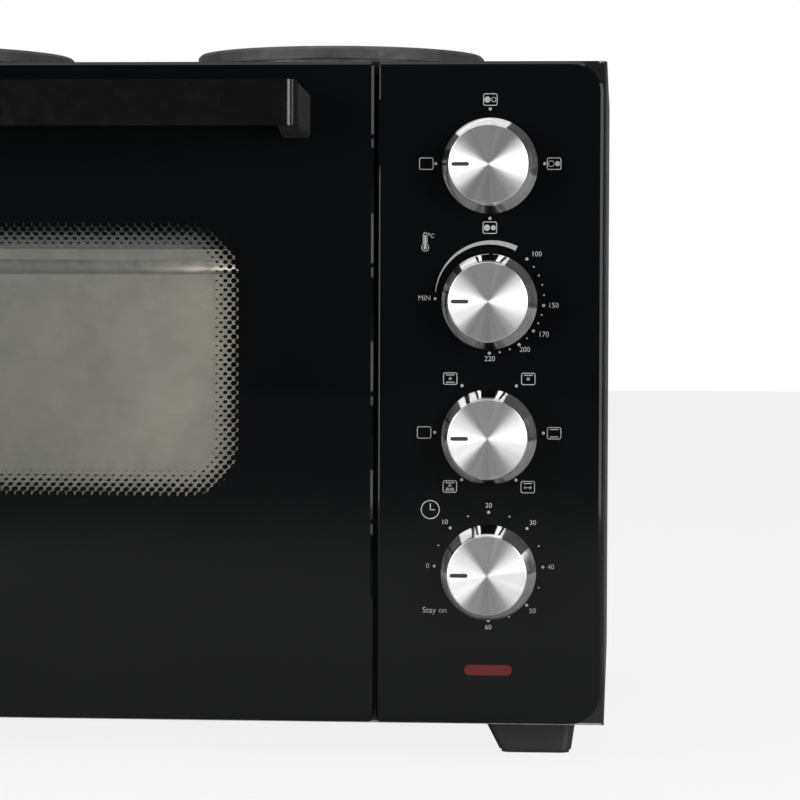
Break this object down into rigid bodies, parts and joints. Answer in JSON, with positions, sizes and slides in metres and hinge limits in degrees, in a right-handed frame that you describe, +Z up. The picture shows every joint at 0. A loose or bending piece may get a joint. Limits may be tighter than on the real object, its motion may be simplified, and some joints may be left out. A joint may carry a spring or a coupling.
{
  "type": "toaster oven",
  "caption": "Mini oven with drop-down glass door, two hot plates on its hob, side control panel with knobs, pilot lamp, rack and tray.",
  "frame": {"origin": "middle of the bounding box at the surface the feet stand on", "axes": "+Z up, the door and knobs face -Y, +X to the right seen from the front"},
  "size_m": [0.53, 0.43, 0.3525],
  "materials": {
    "back_panel": "zinc-grey sheet steel",
    "baking_tray": "black enamel",
    "base_pan": "zinc-grey sheet steel",
    "case_screws": "zinc plated",
    "cavity_back_wall": "grey enamel",
    "cavity_ceiling": "grey enamel",
    "cavity_floor_plate": "grey enamel",
    "cavity_left_wall": "grey enamel",
    "cavity_right_wall": "grey enamel",
    "control_glass": "black printed glass, polished",
    "control_panel_frame": "black moulded plastic",
    "control_switches": "ivory phenolic",
    "cord_gland": "black plastic",
    "door_frame": "black steel",
    "door_handle_bar": "gloss black",
    "door_inner_glass": "clear heat-proof glass",
    "door_inner_panel": "black enamel",
    "door_outer_glass": "black printed glass with a clear window",
    "door_seal": "black silicone",
    "drive_motors": "plated steel",
    "element_insulators": "unglazed ceramic",
    "fan_cover": "grey enamel",
    "fan_wheel": "pressed aluminium",
    "feet": "textured black plastic",
    "foot_pads": "black rubber",
    "front_frame": "black enamel",
    "function_knob": "dark plated plastic skirt",
    "function_knob_cap": "spun aluminium",
    "glass_clips": "spring steel",
    "handle_brackets": "black plastic",
    "handle_screws": "zinc plated",
    "heat_shield": "aluminised steel",
    "hinge_arms": "zinc plated",
    "hinge_brackets": "zinc plated",
    "hinge_guides": "natural nylon",
    "hob_top_panel": "black enamel",
    "hot_plate_knob": "dark plated plastic skirt",
    "hot_plate_knob_cap": "spun aluminium",
    "left_hot_plate": "seasoned cast iron",
    "left_side_panel": "dark grey powder coat",
    "lower_heating_elements": "oxidised sheath",
    "oven_lamp_bulb": "frosted bulb",
    "oven_lamp_cover": "clear heat-proof glass",
    "oven_lamp_holder": "ceramic",
    "pilot_lamp": "neon tube",
    "pilot_lens": "deep red translucent",
    "plate_clamps": "zinc plated",
    "plate_rings": "polished steel",
    "rear_spacers": "black plastic",
    "right_hot_plate": "seasoned cast iron",
    "right_side_panel": "dark grey powder coat",
    "rotisserie_drive": "turned steel",
    "shelf_rails": "bright wire",
    "temperature_knob": "dark plated plastic skirt",
    "temperature_knob_cap": "spun aluminium",
    "terminal_block": "ivory plastic",
    "timer_knob": "dark plated plastic skirt",
    "timer_knob_cap": "spun aluminium",
    "upper_heating_elements": "oxidised sheath",
    "wire_rack": "bright chrome wire"
  },
  "bodies": {
    "root": {"back_panel": "back_panel", "base_pan": "base_pan", "case_screws": "case_screws", "cavity_back_wall": "cavity_back_wall", "cavity_ceiling": "cavity_ceiling", "cavity_floor_plate": "cavity_floor_plate", "cavity_left_wall": "cavity_left_wall", "cavity_right_wall": "cavity_right_wall", "control_glass": "control_glass", "control_panel_frame": "control_panel_frame", "control_switches": "control_switches", "cord_gland": "cord_gland", "door_seal": "door_seal", "drive_motors": "drive_motors", "element_insulators": "element_insulators", "fan_cover": "fan_cover", "feet": "feet", "foot_pads": "foot_pads", "front_frame": "front_frame", "heat_shield": "heat_shield", "hinge_brackets": "hinge_brackets", "hinge_guides": "hinge_guides", "hob_top_panel": "hob_top_panel", "left_hot_plate": "left_hot_plate", "left_side_panel": "left_side_panel", "lower_heating_elements": "lower_heating_elements", "oven_lamp_bulb": "oven_lamp_bulb", "oven_lamp_cover": "oven_lamp_cover", "oven_lamp_holder": "oven_lamp_holder", "pilot_lamp": "pilot_lamp", "pilot_lens": "pilot_lens", "plate_clamps": "plate_clamps", "plate_rings": "plate_rings", "rear_spacers": "rear_spacers", "right_hot_plate": "right_hot_plate", "right_side_panel": "right_side_panel", "shelf_rails": "shelf_rails", "terminal_block": "terminal_block", "upper_heating_elements": "upper_heating_elements"},
    "door": {"door_outer_glass": "door_outer_glass", "door_frame": "door_frame", "door_inner_panel": "door_inner_panel", "door_inner_glass": "door_inner_glass", "glass_clips": "glass_clips", "door_handle_bar": "door_handle_bar", "handle_brackets": "handle_brackets", "handle_screws": "handle_screws", "hinge_arms": "hinge_arms"},
    "hot_plate_selector": {"hot_plate_knob": "hot_plate_knob", "hot_plate_knob_cap": "hot_plate_knob_cap"},
    "temperature_control": {"temperature_knob": "temperature_knob", "temperature_knob_cap": "temperature_knob_cap"},
    "function_selector": {"function_knob": "function_knob", "function_knob_cap": "function_knob_cap"},
    "timer_control": {"timer_knob": "timer_knob", "timer_knob_cap": "timer_knob_cap"},
    "fan": {"fan_wheel": "fan_wheel"},
    "rotisserie": {"rotisserie_drive": "rotisserie_drive"},
    "rack": {"wire_rack": "wire_rack"},
    "tray": {"baking_tray": "baking_tray"}
  },
  "joints": [
    {"name": "door_hinge", "type": "hinge", "parent": "root", "child": "door", "pos_m": [-0.05485, -0.17, 0.022], "axis": [1, 0, 0], "range_deg": [0, 82]},
    {"name": "hot_plate_turn", "type": "hinge", "parent": "root", "child": "hot_plate_selector", "pos_m": [0.20935, -0.178, 0.285], "axis": [0, 1, 0], "range_deg": [0, 270]},
    {"name": "temperature_turn", "type": "hinge", "parent": "root", "child": "temperature_control", "pos_m": [0.20935, -0.178, 0.22], "axis": [0, 1, 0], "range_deg": [0, 270]},
    {"name": "function_turn", "type": "hinge", "parent": "root", "child": "function_selector", "pos_m": [0.20935, -0.178, 0.155], "axis": [0, 1, 0], "range_deg": [0, 300]},
    {"name": "timer_turn", "type": "hinge", "parent": "root", "child": "timer_control", "pos_m": [0.20935, -0.178, 0.09], "axis": [0, 1, 0], "range_deg": [-45, 270]},
    {"name": "fan_spin", "type": "hinge", "parent": "root", "child": "fan", "pos_m": [0.11215, 0.077, 0.15], "axis": [1, 0, 0], "continuous": true},
    {"name": "rotisserie_spin", "type": "hinge", "parent": "root", "child": "rotisserie", "pos_m": [0.11215, -0.028, 0.15], "axis": [1, 0, 0], "continuous": true},
    {"name": "rack_slide", "type": "slide", "parent": "root", "child": "rack", "axis": [0, -1, 0], "range_m": [0, 0.1165]},
    {"name": "tray_slide", "type": "slide", "parent": "root", "child": "tray", "axis": [0, -1, 0], "range_m": [0, 0.0592]}
  ],
  "couplings": [
    {"joint": "rack_slide", "follows": "door_hinge", "m_per_rad": 0.08},
    {"joint": "tray_slide", "follows": "door_hinge", "m_per_rad": 0.04}
  ]
}
